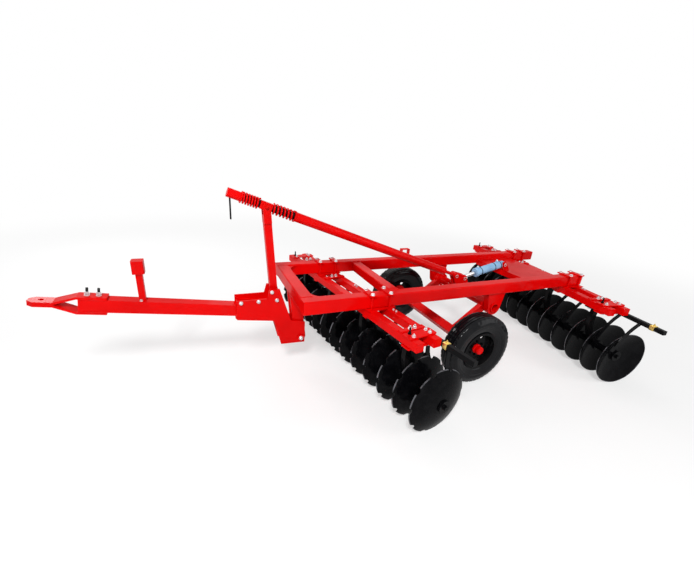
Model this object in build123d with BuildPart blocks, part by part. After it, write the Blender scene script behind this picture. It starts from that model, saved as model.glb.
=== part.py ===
from build123d import *
import os
from math import atan2, cos, degrees, hypot, radians, sin, sqrt, tan

os.makedirs("parts", exist_ok=True)

# Millimetres. Design places are measured from the frame's front face (x, rearwards), its centre
# plane (y, positive to the right-hand side) and the ground (z). These two values put that datum
# where the origin is the middle of the whole machine's footprint.
frame_front = -1110.63
centre_y = 89.89

# Clearances
slip_gap = 0.3
running_fit = 0.05
side_play = 6.0

# Straight lower edge that a plate keeps where it is welded on
seat_edge = 2.0

# Frame
rail_half_spread = 517.0
rail_width = 120.0
rail_height = 125.0
rail_bottom = 872.0
rail_wall = 8.0
rail_corner = 12.0
rail_tail_left = 150.0
rail_tail_right = 300.0
front_cross_depth = 120.0
mid_cross_x = 905.0
mid_cross_depth = 110.0
mid_cross_height = 100.0
corner_leg = 130.0
corner_thick = 12.0
deck_front = 2850.0
deck_depth = 580.0
deck_thick = 16.0
deck_drop = 67.0
deck_flare = 140.0
rear_cross_depth = 110.0
rear_cross_height = 52.0

# Gangs: beam middle on the centre plane, turn of the gang, trail of the axle behind that middle,
# beam reach to the left and right, first disc, side that the discs are hollow on, rim notches,
# scraper bar's drop below the beams' middle and its left and right ends, way from the bar to a
# scraper's tip, through its bend
front_gang = dict(
    name="front", x=665.0, turn=8.2, trail=115.0, left=1240.0, right=1320.0, first=-1400.0,
    cup=1, notches=10,
    bar_drop=30.0, bar_left=1560.0, bar_right=1430.0,
    arm_bend=(10.0, -205.0), arm_tip=(105.0, -330.0),
)
rear_gang = dict(
    name="rear", x=3550.0, turn=-10.9, trail=125.0, left=1250.0, right=1420.0, first=-1293.0,
    cup=-1, notches=0,
    bar_drop=60.0, bar_left=1615.0, bar_right=1440.0,
    arm_bend=(-130.0, -125.0), arm_tip=(-215.0, -285.0),
)
beam_side = 80.0
beam_wall = 8.0
beam_corner = 8.0
cap_set = 3.0
beam_spread = 190.0
saddle_thick = 10.0
saddle_length = 190.0
disc_count = 13
hanger_step = 3
disc_pitch = 225.0
disc_radius = 305.0
disc_thick = 6.0
disc_dish = 72.0
disc_flat = 72.0
notch_radius = 36.0
notch_centre = 318.0
shaft_radius = 20.0
spool_radius = 38.0
spool_flange = 58.0
spool_flange_thick = 14.0
shaft_end = 46.0
housing_radius = 74.0
housing_length = 90.0
housing_step = 8.0
hanger_width = 50.0
hanger_depth = 60.0
hanger_bow = 70.0
hanger_foot = 250.0
hanger_foot_thick = 14.0
strap_width = 60.0
strap_thick = 14.0
stud_radius = 10.0
stud_proud = 16.0
end_plate_length = 100.0
end_plate_thick = 12.0
end_plate_set = 70.0
end_plate_lap = 12.0
scraper_bar = 45.0
scraper_gap = 20.0
scraper_width = 44.0
scraper_thick = 10.0
scraper_clear = 9.0
blade_length = 130.0
blade_width = 62.0
blade_thick = 8.0
carrier_length = 70.0

# Wheel lift
lift_x = 2240.0
lift_z = 695.0
lift_arm = 515.0
rockshaft_radius = 55.0
rockshaft_wall = 12.0
rockshaft_half = 565.0
bracket_width = 70.0
bracket_radius = 88.0
bracket_foot = 240.0
arm_spread = 420.0
arm_width = 60.0
arm_height = 90.0
arm_boss_radius = 84.0
axle_side = 100.0
rod_pin_x = 2075.0
rod_pin_z = 909.0
ram_pin_x = 2208.0
ram_pin_z = 872.0
lever_thick = 16.0
lever_slot = 52.0
pin_radius = 16.0
pin_head_radius = 24.0
pin_head = 12.0
eye_radius = 32.0
eye_width = 40.0
lever_edge = 4.0
tang_lap = 6.0

# Wheels
tyre_radius = 385.0
tyre_width = 205.0
tread_width = 160.0
tread_crown = 3.0
tread_round = 16.0
shoulder_drop = 22.0
shoulder_out = 8.0
bead_rise = 4.0
rim_radius = 190.0
rim_width = 165.0
rim_lip = 18.0
rim_wall = 9.0
wheel_half_track = 790.0
wheel_disc_thick = 10.0
wheel_disc_set = 12.0
hand_hole_radius = 22.0
hand_hole_ring = 138.0
hub_back = 134.0
hub_front = 56.0
hub_wall = 14.0
hub_chamfer = 6.0
hub_cap_length = 36.0
hub_cap_round = 8.0
hub_radius = 50.0
hub_flange_radius = 104.0
hub_flange_thick = 16.0
hub_cap_radius = 43.0
spindle_radius = 32.0

# Drawbar
pivot_x = 122.0
pivot_z = 386.0
pivot_radius = 24.0
pivot_boss = 60.0
tongue_side = 108.0
tongue_wall = 10.0
tongue_fall = 8.55
tongue_mid_x = -223.0
tongue_mid_z = 700.0
tongue_front = 1480.0
tongue_rear = 110.0
sleeve_wall = 21.0
sleeve_front = 277.0
sleeve_rear = 124.0
head_thick = 16.0
ear_thick = 20.0
head_nose_x = -497.0
head_nose_low = 660.0
head_nose_high = 850.0
head_step_x = -215.0
head_throat_x = -150.0
head_throat_z = 608.0
head_toe_x = -80.0
head_toe_z = 335.0
head_heel_x = 165.0
head_heel_z = 325.0
head_back_z = 555.0
head_neck_x = 20.0
head_neck_z = 590.0
head_top_z = 940.0
head_top_rear = -95.0
head_top_front = -190.0
ear_gap = 12.0
ear_front = 10.0
ear_top = 110.0
mast_side = 70.0
mast_foot_x = -130.0
mast_foot_z = 772.0
mast_foot_height = 108.0
fork_thick = 12.0
fork_height = 150.0
hitch_thick = 20.0
hitch_bore = 33.0
hitch_lap = 190.0
hitch_slope = 150.0
hitch_nose = 158.0
hitch_width = 110.0
hitch_tip = 50.0
hitch_eye = 80.0
hitch_overhang = 10.0
hitch_chamfer = 40.0
post_x = -1245.0
post_side = 50.0
post_height = 240.0
post_head = 90.0
post_head_height = 110.0

# Levelling rod
trunnion_x = -200.0
trunnion_z = 1705.0
trunnion_length = 110.0
trunnion_height = 72.0
trunnion_pin = 15.0
level_rod_radius = 20.0
level_tube_radius = 45.0
level_tube_gap = 176.0
spring_radius = 44.0
spring_wire = 8.0
spring_turns = 6
spring_front = 160.0
spring_rear = 215.0
cup_radius = 52.0
cup_thick = 10.0
nut_length = 115.0
nut_radius = 40.0
tommy_radius = 6.0
tommy_set = 22.0
tommy_length = 170.0

# Cylinder
bracket_base = 90.0
ram_tail_ahead = 15.0
ram_tail_high = 82.0
barrel_radius = 48.0
barrel_bore = 38.0
rod_shown = 198.0
stroke_left = 135.0
barrel_floor = 16.0
gland_length = 36.0
gland_radius = 56.0
ram_radius = 22.0

# Hose loop on the right-hand rail
loop_x = 1660.0
loop_side = 115.0
loop_wall = 8.0
loop_depth = 58.0

rail_top = rail_bottom + rail_height
rail_mid = rail_bottom + rail_height / 2
rail_inner = rail_half_spread - rail_width / 2
deck_top = rail_top - deck_drop
beam_top = rail_bottom - saddle_thick
beam_mid = beam_top - beam_side / 2
beam_bottom = beam_top - beam_side
hanger_bays = range(1, disc_count, hanger_step)
axle_half = wheel_half_track - hub_back - side_play
spindle_length = hub_back + hub_front
hub_x = lift_x - sqrt(lift_arm**2 - (lift_z - tyre_radius) ** 2)
arm_fall = -degrees(atan2(lift_z - tyre_radius, lift_x - hub_x))
sleeve_half = tongue_side / 2 + slip_gap + sleeve_wall
head_y = sleeve_half + head_thick / 2
ear_y = sleeve_half - ear_gap - ear_thick / 2
lever_y = lever_slot / 2 + lever_thick / 2
level_fall = degrees(atan2(trunnion_z - rod_pin_z, rod_pin_x - trunnion_x))
level_length = hypot(rod_pin_x - trunnion_x, trunnion_z - rod_pin_z)
ram_tail_x = deck_front - ram_tail_ahead
ram_tail_z = deck_top + ram_tail_high
ram_fall = degrees(atan2(ram_pin_z - ram_tail_z, ram_tail_x - ram_pin_x))
ram_span = hypot(ram_tail_x - ram_pin_x, ram_tail_z - ram_pin_z)
barrel_start = eye_radius + side_play + tang_lap
barrel_length = ram_span - barrel_start - rod_shown
ram_length = rod_shown - pin_radius - tang_lap + barrel_length - barrel_floor - stroke_left


def side_plane(y=0.0):
    return Plane(origin=(frame_front, centre_y + y, 0), x_dir=(1, 0, 0), z_dir=(0, -1, 0))


def level_plane(z=0.0):
    return Plane(origin=(frame_front, centre_y, z), x_dir=(1, 0, 0), z_dir=(0, 0, 1))


def cross_plane(x=0.0):
    return Plane(origin=(frame_front + x, centre_y, 0), x_dir=(0, 1, 0), z_dir=(1, 0, 0))


# A side view whose local x runs rearwards along a line that falls by so many degrees
def slanted_plane(x, z, fall, y=0.0):
    slope = radians(fall)
    return Plane(
        origin=(frame_front + x, centre_y + y, z),
        x_dir=(cos(slope), 0, -sin(slope)),
        z_dir=(0, -1, 0),
    )


# A gang seen from above: local x rearwards across the gang, local y along it to the right
def gang_level(gang, z):
    turn = radians(gang["turn"])
    return Plane(
        origin=(frame_front + gang["x"], centre_y, z),
        x_dir=(cos(turn), sin(turn), 0),
        z_dir=(0, 0, 1),
    )


# A gang cut across at a place along it: local x rearwards, local y up
def gang_section(gang, along):
    turn = radians(gang["turn"])
    return Plane(
        origin=(frame_front + gang["x"] - along * sin(turn), centre_y + along * cos(turn), 0),
        x_dir=(cos(turn), sin(turn), 0),
        z_dir=(sin(turn), -cos(turn), 0),
    )


# The level plane through a gang's axle, with its origin on the axle
def gang_axle(gang):
    turn = radians(gang["turn"])
    return Plane(
        origin=(
            frame_front + gang["x"] + gang["trail"] * cos(turn),
            centre_y + gang["trail"] * sin(turn),
            disc_radius,
        ),
        x_dir=(cos(turn), sin(turn), 0),
        z_dir=(0, 0, 1),
    )


# A wheel cut through its axle: local x outwards along the axle, local y up
def wheel_plane(side):
    return Plane(
        origin=(frame_front + hub_x, centre_y + side * wheel_half_track, tyre_radius),
        x_dir=(0, side, 0),
        z_dir=(side, 0, 0),
    )


def beam_x(gang, y):
    return gang["x"] - y * tan(radians(gang["turn"]))


# Where a gang's clamp studs stand round a rail
def stud_places(gang, side):
    rail_y = side * rail_half_spread
    stud_y = rail_width / 2 + stud_radius + slip_gap
    return [
        (beam_x(gang, rail_y) + step * beam_spread / 2, rail_y + over * stud_y)
        for step in (-1, 1)
        for over in (-1, 1)
    ]


def box_section(width, height, wall, corner):
    RectangleRounded(width, height, corner)
    Rectangle(width - 2 * wall, height - 2 * wall, mode=Mode.SUBTRACT)


def save(piece, name):
    piece.part.label = name
    export_step(piece.part, f"parts/{name}.step")


# Frame rails, closed at the front and open at the rear
for side, tail, name in (
    (-1, rail_tail_left, "frame_rail_left"),
    (1, rail_tail_right, "frame_rail_right"),
):
    rail_y = side * rail_half_spread
    rail_end = beam_x(rear_gang, rail_y) + tail
    with BuildPart() as rail:
        with BuildSketch(cross_plane(0)):
            with Locations((rail_y, rail_mid)):
                RectangleRounded(rail_width, rail_height, rail_corner)
        extrude(amount=rail_end)
        with BuildSketch(cross_plane(rail_wall)):
            with Locations((rail_y, rail_mid)):
                Rectangle(rail_width - 2 * rail_wall, rail_height - 2 * rail_wall)
        extrude(amount=rail_end - rail_wall, mode=Mode.SUBTRACT)
    save(rail, name)

# Front cross-member between the rails, with a round-edged gusset in each corner behind it
with BuildPart() as front_cross:
    with BuildSketch(side_plane()):
        with Locations((front_cross_depth / 2, rail_mid)):
            box_section(front_cross_depth, rail_height, rail_wall, rail_corner)
    extrude(amount=rail_inner, both=True)
    for side in (-1, 1):
        with BuildSketch(level_plane(rail_top - rail_corner - corner_thick)):
            with Locations((front_cross_depth + corner_leg / 2, side * (rail_inner - corner_leg / 2))):
                Rectangle(corner_leg, corner_leg)
            with Locations((front_cross_depth + corner_leg, side * (rail_inner - corner_leg))):
                Circle(corner_leg, mode=Mode.SUBTRACT)
        extrude(amount=corner_thick)
save(front_cross, "frame_front_cross")

# Middle cross-member
with BuildPart() as mid_cross:
    with BuildSketch(side_plane()):
        with Locations((mid_cross_x + mid_cross_depth / 2, rail_mid)):
            box_section(mid_cross_depth, mid_cross_height, rail_wall, rail_corner)
    extrude(amount=rail_inner, both=True)
save(mid_cross, "frame_mid_cross")

# Rear cross-member under a wide deck plate that flares into the rails, cut round the clamp studs
with BuildPart() as rear_cross:
    with BuildSketch(level_plane(deck_top - deck_thick)):
        with Locations((deck_front + (deck_depth + deck_flare) / 2, 0)):
            Rectangle(deck_depth + deck_flare, 2 * rail_inner)
        with Locations((deck_front + deck_depth + deck_flare, 0)):
            RectangleRounded(
                2 * deck_flare, 2 * rail_inner, deck_flare - slip_gap, mode=Mode.SUBTRACT
            )
        with Locations(*stud_places(rear_gang, -1), *stud_places(rear_gang, 1)):
            Circle(stud_radius + side_play, mode=Mode.SUBTRACT)
    extrude(amount=deck_thick)
    cross_mid = deck_top - deck_thick - rear_cross_height / 2
    with BuildSketch(side_plane()):
        with Locations((deck_front + rear_cross_depth / 2, cross_mid)):
            Rectangle(rear_cross_depth, rear_cross_height)
            Rectangle(
                rear_cross_depth - 2 * rail_wall,
                rear_cross_height - 2 * rail_wall,
                mode=Mode.SUBTRACT,
            )
    extrude(amount=rail_inner, both=True)
save(rear_cross, "frame_rear_cross")

# Ears under the front cross-member, between the headstock plates, with the pin that the drawbar turns on
with BuildPart() as ears:
    for side in (-1, 1):
        with BuildSketch(side_plane(side * ear_y)):
            with Locations((pivot_x, pivot_z)):
                Circle(pivot_boss)
            with Locations((ear_front + ear_top / 2, rail_bottom - seat_edge / 2)):
                Rectangle(ear_top, seat_edge)
            make_hull()
        extrude(amount=ear_thick / 2, both=True)
    pin_half = sleeve_half + head_thick + side_play + pin_head
    with BuildSketch(side_plane()):
        with Locations((pivot_x, pivot_z)):
            Circle(pivot_radius)
    extrude(amount=pin_half, both=True)
    for side in (-1, 1):
        with BuildSketch(side_plane(side * (pin_half - pin_head / 2))):
            with Locations((pivot_x, pivot_z)):
                Circle(pivot_radius + pin_head)
        extrude(amount=pin_head / 2, both=True)
save(ears, "tongue_ears")

# Brackets under the rails that carry the rockshaft
with BuildPart() as brackets:
    for side in (-1, 1):
        with BuildSketch(side_plane(side * rail_half_spread)):
            with Locations((lift_x, lift_z)):
                Circle(bracket_radius)
            with Locations((lift_x, rail_bottom - hanger_foot_thick / 2)):
                Rectangle(bracket_foot, hanger_foot_thick)
            make_hull()
            with Locations((lift_x, lift_z)):
                Circle(rockshaft_radius + slip_gap, mode=Mode.SUBTRACT)
        extrude(amount=bracket_width / 2, both=True)
save(brackets, "lift_brackets")

# Ears on the deck, with the pin that the cylinder's tail turns on
with BuildPart() as ram_bracket:
    for side in (-1, 1):
        with BuildSketch(side_plane(side * lever_y)):
            with Locations((ram_tail_x, ram_tail_z)):
                Circle(eye_radius)
            with Locations((deck_front + bracket_base / 2, deck_top + seat_edge / 2)):
                Rectangle(bracket_base, seat_edge)
            make_hull()
        extrude(amount=lever_thick / 2, both=True)
    with BuildSketch(side_plane()):
        with Locations((ram_tail_x, ram_tail_z)):
            Circle(pin_radius)
    extrude(amount=lever_y + lever_thick / 2 + pin_head, both=True)
save(ram_bracket, "ram_bracket")

# Square loop on the right-hand rail that leads the hoses
with BuildPart() as hose_loop:
    with BuildSketch(side_plane(rail_half_spread)):
        with Locations((loop_x, rail_top + loop_side / 2)):
            Rectangle(loop_side, loop_side)
            Rectangle(loop_side - 2 * loop_wall, loop_side - 2 * loop_wall, mode=Mode.SUBTRACT)
    extrude(amount=loop_depth / 2, both=True)
save(hose_loop, "hose_loop")


# One disc about the y axis, hollow towards the side that its gang turns soil to
def make_disc(gang):
    centre = (disc_radius**2 - disc_flat**2 + disc_dish**2) / (2 * disc_dish)
    back = hypot(disc_flat, centre)
    face = hypot(disc_flat, centre - disc_thick)

    def on_sphere(sphere, radius):
        return radius, centre - sqrt(sphere**2 - radius**2)

    half_way = (disc_flat + disc_radius) / 2
    with BuildPart() as disc:
        with BuildSketch(Plane.XY):
            with BuildLine():
                Line((shaft_radius + slip_gap, 0), (disc_flat, 0))
                ThreePointArc((disc_flat, 0), on_sphere(back, half_way), on_sphere(back, disc_radius))
                Line(on_sphere(back, disc_radius), on_sphere(face, disc_radius))
                ThreePointArc(
                    on_sphere(face, disc_radius), on_sphere(face, half_way), (disc_flat, disc_thick)
                )
                Line((disc_flat, disc_thick), (shaft_radius + slip_gap, disc_thick))
                Line((shaft_radius + slip_gap, disc_thick), (shaft_radius + slip_gap, 0))
            make_face()
        revolve(axis=Axis.Y)
        if gang["notches"]:
            with BuildSketch(Plane.XZ):
                with PolarLocations(notch_centre, gang["notches"]):
                    Circle(notch_radius)
            extrude(amount=2 * disc_dish, both=True, mode=Mode.SUBTRACT)
        if gang["cup"] < 0:
            mirror(about=Plane.XZ, mode=Mode.REPLACE)
    return disc.part


def make_gang(gang):
    name = gang["name"]
    stations = [gang["first"] + i * disc_pitch for i in range(disc_count)]
    cup = gang["cup"]

    # Two beams side by side
    middle = (gang["right"] - gang["left"]) / 2
    reach = (gang["right"] + gang["left"]) / 2
    with BuildPart() as beams:
        with BuildSketch(gang_section(gang, middle)):
            with Locations((-beam_spread / 2, beam_mid), (beam_spread / 2, beam_mid)):
                box_section(beam_side, beam_side, beam_wall, beam_corner)
        extrude(amount=reach, both=True)
    save(beams, f"{name}_beams")

    # Plates above and below that tie the two beams near their ends, and a cap in each open end
    with BuildPart() as end_plates:
        lap = beam_spread + beam_side + 2 * end_plate_lap
        for height in (beam_top, beam_bottom - end_plate_thick):
            with BuildSketch(gang_level(gang, height)):
                with Locations(
                    (0, end_plate_set + end_plate_length / 2 - gang["left"]),
                    (0, gang["right"] - end_plate_set - end_plate_length / 2),
                ):
                    RectangleRounded(lap, end_plate_length, end_plate_lap)
            extrude(amount=end_plate_thick)
        cap_side = beam_side - 2 * beam_wall - 2 * slip_gap
        for end, inwards in ((cap_set - gang["left"], -1), (gang["right"] - cap_set, 1)):
            with BuildSketch(gang_section(gang, end)):
                with Locations((-beam_spread / 2, beam_mid), (beam_spread / 2, beam_mid)):
                    Rectangle(cap_side, cap_side)
            extrude(amount=inwards * beam_wall)
    save(end_plates, f"{name}_end_plates")

    # Clamps: saddle between rail and beams, straps over the rail, strap under the beams, studs
    turn = radians(gang["turn"])
    with BuildPart() as clamps:
        for side in (-1, 1):
            rail_y = side * rail_half_spread
            along = rail_y / cos(turn)
            with BuildSketch(gang_level(gang, beam_top)):
                with Locations((0, along)):
                    Rectangle(beam_spread + beam_side + 2 * strap_thick, saddle_length)
            extrude(amount=saddle_thick)
            crossing = beam_x(gang, rail_y)
            with BuildSketch(level_plane(rail_top)):
                with Locations(*[(crossing + s * beam_spread / 2, rail_y) for s in (-1, 1)]):
                    Rectangle(strap_width, rail_width + 2 * (3 * stud_radius + slip_gap))
            extrude(amount=strap_thick)
            with BuildSketch(level_plane(rail_bottom)):
                with Locations(*stud_places(gang, side)):
                    Circle(stud_radius)
            extrude(amount=rail_height + strap_thick + stud_proud)
            with BuildSketch(gang_level(gang, beam_bottom - strap_thick)):
                with Locations((0, along)):
                    Rectangle(beam_spread + beam_side, strap_width)
            extrude(amount=strap_thick)
            with BuildSketch(gang_level(gang, beam_bottom)):
                with Locations((0, along)):
                    Circle(stud_radius)
            extrude(amount=beam_side)
    save(clamps, f"{name}_clamps")

    # Bowed hangers under the beams, each with the bearing housing that the axle turns in
    with BuildPart() as hangers:
        for bay in hanger_bays:
            place = stations[bay] + disc_pitch / 2 + cup * disc_dish / 2
            trail = gang["trail"]
            foot = beam_bottom - hanger_foot_thick
            half = hanger_depth / 2
            bow = (trail / 2 - hanger_bow, (foot + disc_radius) / 2)
            with BuildSketch(gang_section(gang, place)):
                with BuildLine():
                    Line((-half, foot), (half, foot))
                    ThreePointArc((half, foot), (bow[0] + half, bow[1]), (trail + half, disc_radius))
                    Line((trail + half, disc_radius), (trail - half, disc_radius))
                    ThreePointArc((trail - half, disc_radius), (bow[0] - half, bow[1]), (-half, foot))
                make_face()
                with Locations((trail, disc_radius)):
                    Circle(housing_radius)
                    Circle(spool_radius + slip_gap, mode=Mode.SUBTRACT)
            extrude(amount=hanger_width / 2, both=True)
            with BuildSketch(gang_section(gang, place)):
                with Locations((trail, disc_radius)):
                    Circle(housing_radius - housing_step)
                    Circle(spool_radius + slip_gap, mode=Mode.SUBTRACT)
            extrude(amount=housing_length / 2, both=True)
            with BuildSketch(gang_level(gang, foot)):
                with Locations((0, place)):
                    Rectangle(hanger_foot, hanger_width + 2 * strap_thick)
            extrude(amount=hanger_foot_thick)
    save(hangers, f"{name}_hangers")

    # Scraper bar behind the beams on its carriers, with a bent arm and a blade in every disc's hollow
    beam_back = (beam_spread + beam_side) / 2
    bar_x = beam_back + scraper_gap + scraper_bar / 2
    bar_z = beam_mid - gang["bar_drop"]
    bar_low, bar_high = -gang["bar_left"], gang["bar_right"]
    bend = (bar_x + gang["arm_bend"][0], bar_z + gang["arm_bend"][1])
    tip = (bar_x + gang["arm_tip"][0], bar_z + gang["arm_tip"][1])
    lean = degrees(atan2(tip[1] - bend[1], tip[0] - bend[0]))
    arm_set = disc_dish + disc_thick / 2 + scraper_clear + scraper_thick / 2
    with BuildPart() as scrapers:
        with BuildSketch(gang_section(gang, (bar_low + bar_high) / 2)):
            with Locations((bar_x, bar_z)):
                RectangleRounded(scraper_bar, scraper_bar, stud_radius / 2)
        extrude(amount=(bar_high - bar_low) / 2, both=True)
        for carrier in (-1, 0, 1):
            with BuildSketch(gang_section(gang, carrier * disc_pitch * hanger_step)):
                with Locations((beam_back + scraper_gap / 2, (beam_mid + bar_z) / 2)):
                    Rectangle(scraper_gap, scraper_bar + gang["bar_drop"])
            extrude(amount=carrier_length / 2, both=True)
        for station in stations:
            with BuildSketch(gang_section(gang, station + cup * arm_set)):
                with BuildLine():
                    ThreePointArc((bar_x, bar_z), bend, tip)
                trace(line_width=scraper_width)
            extrude(amount=scraper_thick / 2, both=True)
            with BuildSketch(gang_section(gang, station + cup * (arm_set - scraper_thick / 2))):
                with Locations(Location((*tip, 0), lean)):
                    RectangleRounded(blade_length, blade_width, stud_radius)
            extrude(amount=cup * blade_thick)
    save(scrapers, f"{name}_scrapers")

    # Axle: through shaft and a flanged spool in every bay
    plane = gang_axle(gang)
    low, high = stations[0] - shaft_end, stations[-1] + shaft_end
    with BuildPart() as axle:
        with BuildSketch(plane):
            with Locations((shaft_radius / 2, (low + high) / 2)):
                Rectangle(shaft_radius, high - low)
            starts = [low + shaft_end / 2] + [s + disc_thick / 2 for s in stations]
            stops = [s - disc_thick / 2 for s in stations] + [high - shaft_end / 2]
            for start, stop in zip(starts, stops):
                with Locations((spool_radius / 2, (start + stop) / 2)):
                    Rectangle(spool_radius, stop - start)
                for flange in (start + spool_flange_thick / 2, stop - spool_flange_thick / 2):
                    with Locations((spool_flange / 2, flange)):
                        Rectangle(spool_flange, spool_flange_thick)
        revolve(axis=Axis(plane.origin, plane.y_dir))
    save(axle, f"{name}_axle")

    with BuildPart(plane) as discs:
        disc = make_disc(gang)
        with Locations(*[(0, s - cup * disc_thick / 2, 0) for s in stations]):
            add(disc)
    save(discs, f"{name}_discs")


make_gang(front_gang)
make_gang(rear_gang)

# Wheel lift: rockshaft across the frame
with BuildPart() as rockshaft:
    with BuildSketch(side_plane()):
        with Locations((lift_x, lift_z)):
            Circle(rockshaft_radius)
            Circle(rockshaft_radius - rockshaft_wall, mode=Mode.SUBTRACT)
    extrude(amount=rockshaft_half, both=True)
save(rockshaft, "rockshaft")

# Two arms from the rockshaft forwards to the axle beam
with BuildPart() as arms:
    for side in (-1, 1):
        with BuildSketch(slanted_plane(lift_x, lift_z, arm_fall, side * arm_spread)):
            arm_reach = lift_arm - axle_side / 2
            with Locations((-arm_reach / 2, 0)):
                Rectangle(arm_reach, arm_height)
            Circle(arm_boss_radius)
            Circle(rockshaft_radius + slip_gap, mode=Mode.SUBTRACT)
        extrude(amount=arm_width / 2, both=True)
save(arms, "lift_arms")

with BuildPart() as axle_beam:
    with BuildSketch(slanted_plane(lift_x, lift_z, arm_fall)):
        with Locations((-lift_arm, 0)):
            RectangleRounded(axle_side, axle_side, beam_corner)
    extrude(amount=axle_half, both=True)
    with BuildSketch(slanted_plane(lift_x, lift_z, arm_fall)):
        with Locations((-lift_arm, 0)):
            Circle(spindle_radius)
    extrude(amount=axle_half + spindle_length, both=True)
save(axle_beam, "axle_beam")

# Lever on the rockshaft: two plates with an open slot between them for the two rod eyes
with BuildPart() as lever:
    for side in (-1, 1):
        with BuildSketch(side_plane(side * lever_y)):
            with Locations((lift_x, lift_z)):
                Circle(arm_boss_radius)
            with Locations((rod_pin_x, rod_pin_z), (ram_pin_x, ram_pin_z)):
                Circle(eye_radius + lever_edge)
            make_hull()
            with Locations((lift_x, lift_z)):
                Circle(rockshaft_radius + slip_gap, mode=Mode.SUBTRACT)
        extrude(amount=lever_thick / 2, both=True)
        with BuildSketch(side_plane(side * (lever_y + lever_thick / 2 + pin_head / 2))):
            with Locations((rod_pin_x, rod_pin_z), (ram_pin_x, ram_pin_z)):
                Circle(pin_head_radius)
        extrude(amount=pin_head / 2, both=True)
    with BuildSketch(side_plane()):
        with Locations((lift_x, lift_z)):
            Circle(arm_boss_radius)
            Circle(rockshaft_radius + slip_gap, mode=Mode.SUBTRACT)
    extrude(amount=lever_slot / 2, both=True)
save(lever, "lift_lever")


# Transport wheels
def make_wheel(side, name):
    plane = wheel_plane(side)
    turning = Axis(plane.origin, plane.x_dir)
    half = tyre_width / 2
    tread = tread_width / 2
    bead = rim_width / 2 - rim_wall - slip_gap
    seat = rim_radius + slip_gap
    side_start = rim_radius + rim_lip + bead_rise
    side_mid = (rim_radius + tyre_radius) / 2 + bead_rise
    shoulder = tyre_radius - shoulder_drop
    edge = tyre_radius - tread_crown
    corner = tyre_radius - shoulder_out
    rim_side = tread + shoulder_out
    flat = tread - tread_round

    with BuildPart() as tyre:
        with BuildSketch(plane):
            with BuildLine():
                Line((-bead, seat), (bead, seat))
                Line((bead, seat), (bead, side_start))
                ThreePointArc((bead, side_start), (half, side_mid), (rim_side, shoulder))
                ThreePointArc((rim_side, shoulder), (tread, corner), (flat, edge))
                ThreePointArc((flat, edge), (0, tyre_radius), (-flat, edge))
                ThreePointArc((-flat, edge), (-tread, corner), (-rim_side, shoulder))
                ThreePointArc((-rim_side, shoulder), (-half, side_mid), (-bead, side_start))
                Line((-bead, side_start), (-bead, seat))
            make_face()
        revolve(axis=turning)
    save(tyre, f"{name}_tyre")

    with BuildPart() as rim:
        inside = rim_radius - rim_wall
        lip = rim_radius + rim_lip
        with BuildSketch(plane):
            with Locations((0, rim_radius - rim_wall / 2)):
                Rectangle(rim_width, rim_wall)
            with Locations(*[(s * (rim_width - rim_wall) / 2, (inside + lip) / 2) for s in (-1, 1)]):
                Rectangle(rim_wall, lip - inside)
            with Locations((wheel_disc_set, (hub_radius + slip_gap + inside) / 2)):
                Rectangle(wheel_disc_thick, inside - hub_radius - slip_gap)
        revolve(axis=turning)
        face = Plane(
            origin=plane.from_local_coords((wheel_disc_set, 0, 0)), x_dir=(1, 0, 0), z_dir=(0, side, 0)
        )
        with BuildSketch(face):
            with PolarLocations(hand_hole_ring, 5):
                Circle(hand_hole_radius)
        extrude(amount=wheel_disc_thick, both=True, mode=Mode.SUBTRACT)
    save(rim, f"{name}_rim")

    with BuildPart() as hub:
        bore_end = hub_front + side_play
        outer = bore_end + hub_wall
        flange_face = wheel_disc_set - wheel_disc_thick / 2
        with BuildSketch(plane):
            with BuildLine():
                Polyline(
                    (-hub_back, spindle_radius + running_fit),
                    (-hub_back, hub_radius - hub_chamfer),
                    (flange_face - hub_flange_thick, hub_radius),
                    (flange_face - hub_flange_thick, hub_flange_radius),
                    (flange_face, hub_flange_radius),
                    (flange_face, hub_radius),
                    (outer - hub_cap_length - hub_chamfer, hub_radius),
                    (outer - hub_cap_length, hub_cap_radius),
                    (outer - hub_chamfer, hub_cap_radius),
                    (outer, hub_cap_radius - hub_cap_round),
                    (outer, 0),
                    (bore_end, 0),
                    (bore_end, spindle_radius + running_fit),
                    close=True,
                )
            make_face()
        revolve(axis=turning)
    save(hub, f"{name}_hub")


make_wheel(-1, "left")
make_wheel(1, "right")

# Drawbar tube, seen from the side along its own fall
tongue_line = slanted_plane(tongue_mid_x, tongue_mid_z, tongue_fall)
with BuildPart() as tongue:
    with BuildSketch(tongue_line):
        with Locations(((tongue_rear - tongue_front) / 2, 0)):
            Rectangle(tongue_rear + tongue_front, tongue_side)
    extrude(amount=tongue_side / 2, both=True)
    with BuildSketch(tongue_line):
        with Locations(((tongue_rear - tongue_front) / 2, 0)):
            Rectangle(tongue_rear + tongue_front, tongue_side - 2 * tongue_wall)
    extrude(amount=tongue_side / 2 - tongue_wall, both=True, mode=Mode.SUBTRACT)
save(tongue, "tongue_tube")

with BuildPart() as sleeve:
    with BuildSketch(tongue_line):
        with Locations(((sleeve_rear - sleeve_front) / 2, 0)):
            Rectangle(sleeve_rear + sleeve_front, 2 * sleeve_half)
    extrude(amount=sleeve_half, both=True)
    with BuildSketch(tongue_line):
        with Locations(((sleeve_rear - sleeve_front) / 2, 0)):
            Rectangle(sleeve_rear + sleeve_front, tongue_side + 2 * slip_gap)
    extrude(amount=tongue_side / 2 + slip_gap, both=True, mode=Mode.SUBTRACT)
save(sleeve, "tongue_sleeve")

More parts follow.
